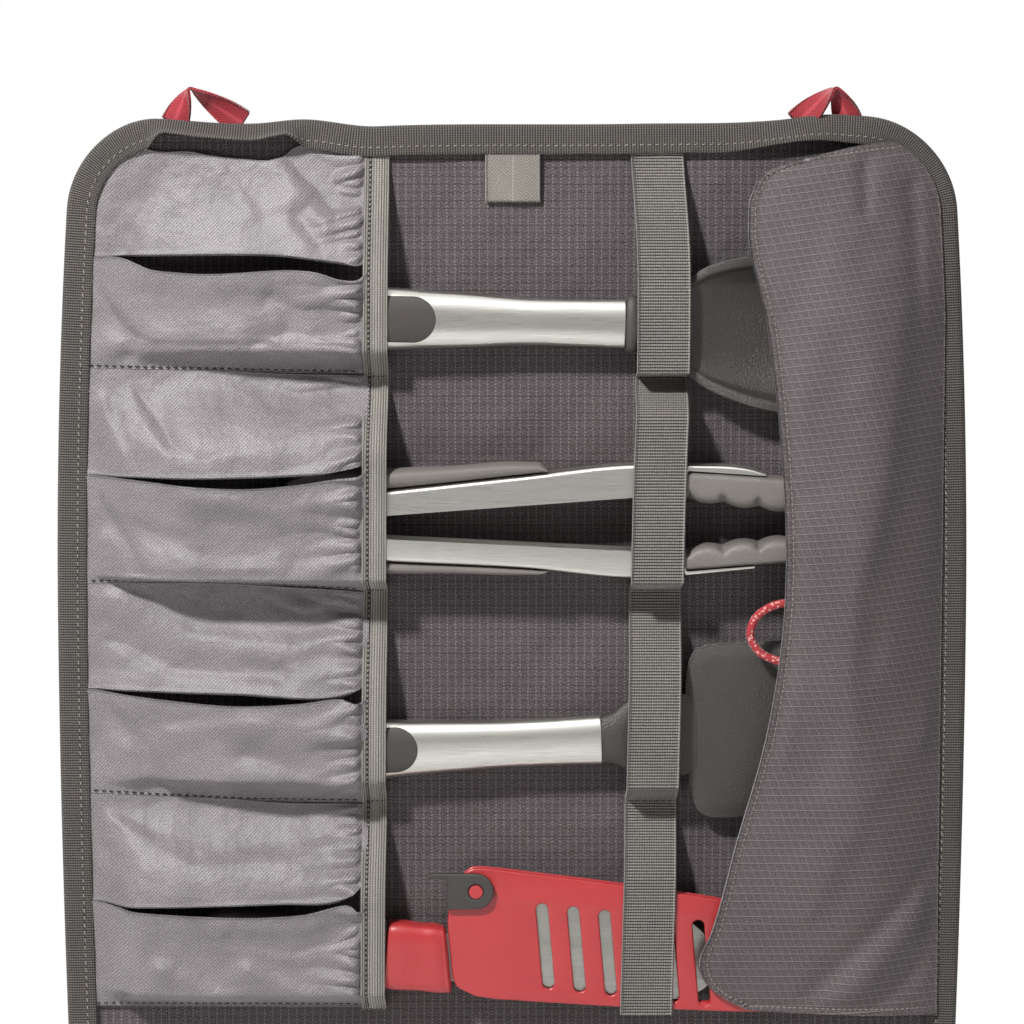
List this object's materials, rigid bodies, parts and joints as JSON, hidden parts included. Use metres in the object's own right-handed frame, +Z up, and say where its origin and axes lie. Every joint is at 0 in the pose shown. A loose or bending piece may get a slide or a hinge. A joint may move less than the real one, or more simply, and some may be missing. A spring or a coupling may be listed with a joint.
{
  "type": "camp kitchen utensil roll",
  "caption": "Hanging fabric tool roll with pockets, straps and a side flap, holding a spoon, locking tongs, a turner and a sheathed knife.",
  "frame": {"origin": "midway between the tops of the two hang loops, in the middle of the panel's thickness", "axes": "+Z up, front towards -Y, +X to the right as seen from the front"},
  "size_m": [0.427, 0.0425, 0.4895],
  "materials": {
    "ripstop": "woven ripstop nylon, matt",
    "flap_ripstop": "woven ripstop nylon, slight sheen",
    "edge_tape": "woven binding tape, matt",
    "pocket_satin": "smooth satin-weave nylon, soft sheen",
    "ribbed_elastic": "ribbed elastic, matt",
    "ribbed_webbing": "ribbed webbing, matt",
    "herringbone_tape": "herringbone tape, matt",
    "red_webbing": "flat woven webbing, matt",
    "red_cord": "braided cord with pale flecks",
    "brushed_steel": "brushed along the length",
    "dark_nylon": "fine moulded grain",
    "soft_rubber": "soft matt rubber",
    "red_plastic": "satin gloss moulding",
    "blade_steel": "satin ground",
    "black_acetal": "satin moulding"
  },
  "bodies": {
    "root": {"back_panel": "ripstop", "edge_binding": "edge_tape", "pocket_cover_1": "pocket_satin", "pocket_cover_2": "pocket_satin", "pocket_cover_3": "pocket_satin", "pocket_cover_4": "pocket_satin", "pocket_1": "pocket_satin", "pocket_2": "pocket_satin", "pocket_3": "pocket_satin", "pocket_4": "pocket_satin", "elastic_band": "ribbed_elastic", "webbing_strap": "ribbed_webbing", "hang_loop_left": "red_webbing", "hang_loop_right": "red_webbing", "strap_anchor_left": "ribbed_webbing", "strap_anchor_right": "ribbed_webbing", "buckle_socket_left": "black_acetal", "buckle_socket_right": "black_acetal"},
    "flap": {"flap": "flap_ripstop", "cord_loop": "red_cord", "cord_patch": "ribbed_webbing"},
    "tab": {"loop_tab": "herringbone_tape"},
    "spoon": {"spoon_handle": "brushed_steel", "spoon_plug": "soft_rubber", "spoon_collar": "soft_rubber", "spoon_head": "dark_nylon"},
    "tongs": {"tongs_lower_arm": "brushed_steel", "tongs_lower_grip": "soft_rubber", "tongs_lower_head": "dark_nylon", "tongs_pivot_pin": "brushed_steel", "tongs_spring": "brushed_steel"},
    "tongs_upper": {"tongs_upper_arm": "brushed_steel", "tongs_upper_grip": "soft_rubber", "tongs_upper_head": "dark_nylon"},
    "lock": {"tongs_lock_tab": "soft_rubber"},
    "turner": {"turner_handle": "brushed_steel", "turner_plug": "soft_rubber", "turner_head": "dark_nylon"},
    "sheath": {"knife_sheath": "red_plastic", "latch_rivet": "red_plastic"},
    "knife": {"knife_blade": "blade_steel", "knife_bolster": "red_plastic", "knife_grip": "soft_rubber"},
    "latch": {"sheath_latch": "dark_nylon"},
    "strap_left": {"closing_strap_left": "ribbed_webbing", "buckle_plug_left": "black_acetal"},
    "strap_right": {"closing_strap_right": "ribbed_webbing", "buckle_plug_right": "black_acetal"}
  },
  "joints": [
    {"name": "flap_hinge", "type": "hinge", "parent": "root", "child": "flap", "pos_m": [0.2015, -0.0047, 0], "axis": [0, 0, 1], "range_deg": [0, 125]},
    {"name": "tab_hinge", "type": "hinge", "parent": "root", "child": "tab", "pos_m": [0.0004, -0.0028, -0.0315], "axis": [-1, 0, 0], "range_deg": [0, 110]},
    {"name": "spoon_slide", "type": "slide", "parent": "root", "child": "spoon", "axis": [1, 0, 0], "range_m": [0, 0.02]},
    {"name": "tongs_slide", "type": "slide", "parent": "root", "child": "tongs", "axis": [1, 0, 0], "range_m": [0, 0.015]},
    {"name": "tongs_open", "type": "hinge", "parent": "tongs", "child": "tongs_upper", "pos_m": [-0.126, -0.0142, -0.2049], "axis": [0, -1, 0], "range_deg": [-1.8, 5], "stiffness_Nm_per_rad": 4, "springref_deg": 2.35},
    {"name": "lock_slide", "type": "slide", "parent": "tongs", "child": "lock", "axis": [1, 0, 0], "range_m": [0, 0.01]},
    {"name": "turner_slide", "type": "slide", "parent": "root", "child": "turner", "axis": [1, 0, 0], "range_m": [0, 0.025]},
    {"name": "sheath_slide", "type": "slide", "parent": "root", "child": "sheath", "axis": [1, 0, 0], "range_m": [0, 0.015]},
    {"name": "knife_draw", "type": "slide", "parent": "sheath", "child": "knife", "axis": [-0.9962, 0, 0.0872], "range_m": [0, 0.025]},
    {"name": "latch_hinge", "type": "hinge", "parent": "sheath", "child": "latch", "pos_m": [-0.01699, -0.0182, -0.37621], "axis": [0, 1, 0], "range_deg": [0, 40]},
    {"name": "left_strap_hinge", "type": "hinge", "parent": "root", "child": "strap_left", "pos_m": [-0.105, 0.0021, -0.095], "axis": [1, 0, 0], "range_deg": [0, 100]},
    {"name": "right_strap_hinge", "type": "hinge", "parent": "root", "child": "strap_right", "pos_m": [0.105, 0.0021, -0.095], "axis": [1, 0, 0], "range_deg": [0, 100]}
  ]
}
